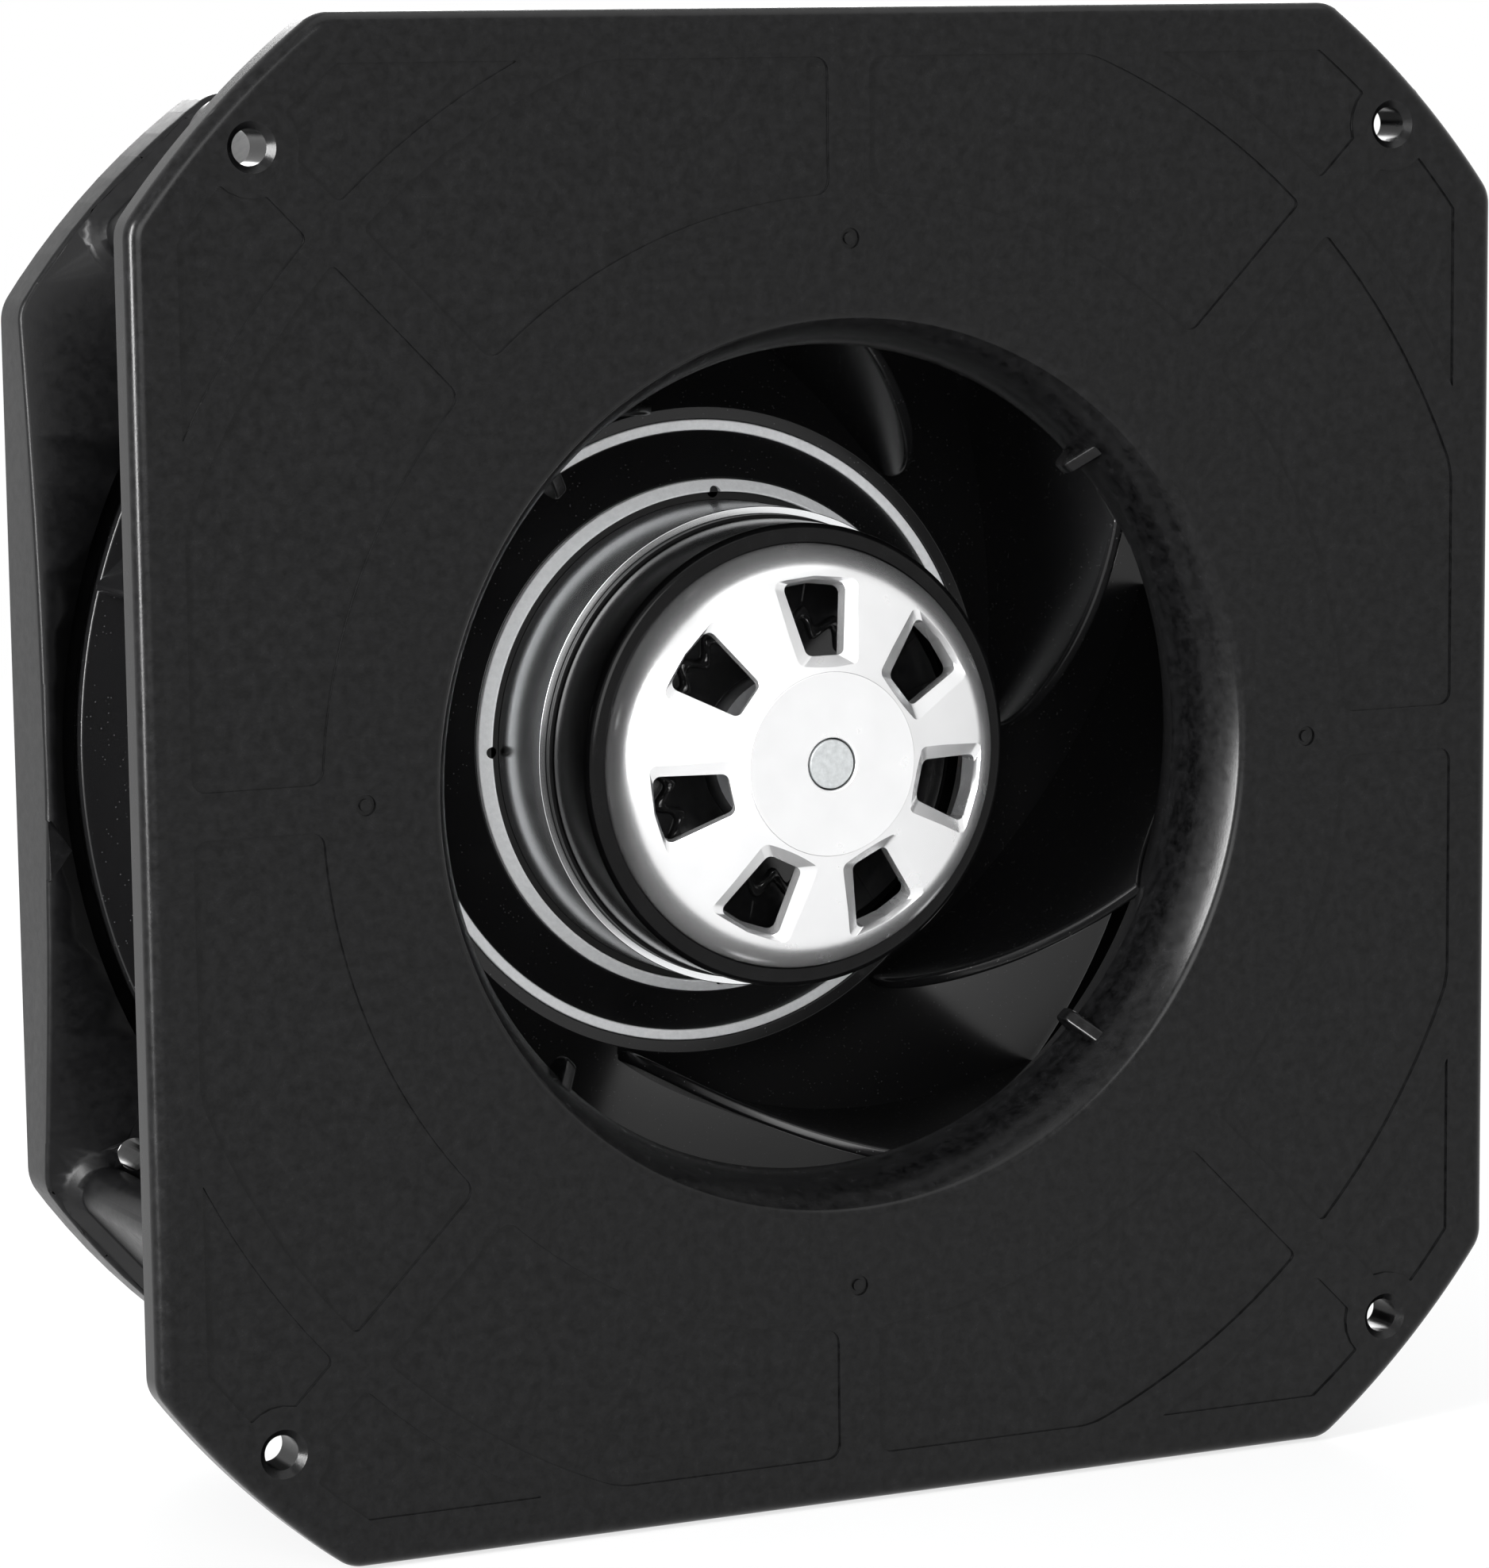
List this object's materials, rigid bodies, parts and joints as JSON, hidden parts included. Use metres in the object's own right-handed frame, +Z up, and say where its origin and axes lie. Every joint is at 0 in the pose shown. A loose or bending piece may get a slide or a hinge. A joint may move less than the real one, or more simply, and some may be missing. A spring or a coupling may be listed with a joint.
{
  "type": "plug fan",
  "caption": "Centrifugal plug fan: square inlet plate with bell nozzle, shrouded backward-curved impeller on an external-rotor motor, and a rear plate on posts.",
  "frame": {"origin": "centre of the inlet plate's front face, on the fan axis", "axes": "+Y along the fan axis from the inlet to the rear, +Z up, +X to the right seen from the inlet side"},
  "size_m": [0.3, 0.1288, 0.3],
  "materials": {
    "plate_plastic": "fine grained, satin",
    "impeller_plastic": "satin",
    "insulator_plastic": "satin",
    "terminal_plastic": "satin",
    "seal_rubber": "matte",
    "black_paint": "gloss",
    "polished_aluminium": "polished",
    "cast_aluminium": "as cast",
    "bright_steel": "turned",
    "lamination_steel": "laminated",
    "bearing_steel": "ground",
    "fastener_steel": "zinc plated",
    "winding": "varnished wire"
  },
  "bodies": {
    "frame": {"inlet_plate": "plate_plastic", "rear_plate": "plate_plastic", "post_screws": "fastener_steel", "motor_carrier": "cast_aluminium", "carrier_screws": "fastener_steel", "stator_core": "lamination_steel", "front_insulator": "insulator_plastic", "rear_insulator": "insulator_plastic", "stator_coils": "winding", "winding_cover": "insulator_plastic", "bearing_outer_rings": "bearing_steel", "bearing_balls": "bearing_steel", "preload_spring": "bearing_steel", "terminal_block": "terminal_plastic", "cover_gasket": "seal_rubber", "motor_cover": "plate_plastic", "cover_screws": "fastener_steel", "cable_grommet": "seal_rubber"},
    "rotor": {"rotor_face": "polished_aluminium", "rotor_shell": "black_paint", "rotor_core": "lamination_steel", "cage_end_ring": "cast_aluminium", "rotor_sleeve": "bright_steel", "rotor_flange": "bright_steel", "shaft": "bright_steel", "shaft_spacer": "bright_steel", "bearing_inner_rings": "bearing_steel", "shaft_clip": "fastener_steel", "impeller_disc": "impeller_plastic", "impeller_blades": "impeller_plastic", "hub_ring": "bright_steel", "impeller_shroud": "impeller_plastic"}
  },
  "joints": [
    {"name": "rotor_spin", "type": "hinge", "parent": "frame", "child": "rotor", "pos_m": [0, 0.05, 0], "axis": [0, 1, 0], "continuous": true}
  ]
}
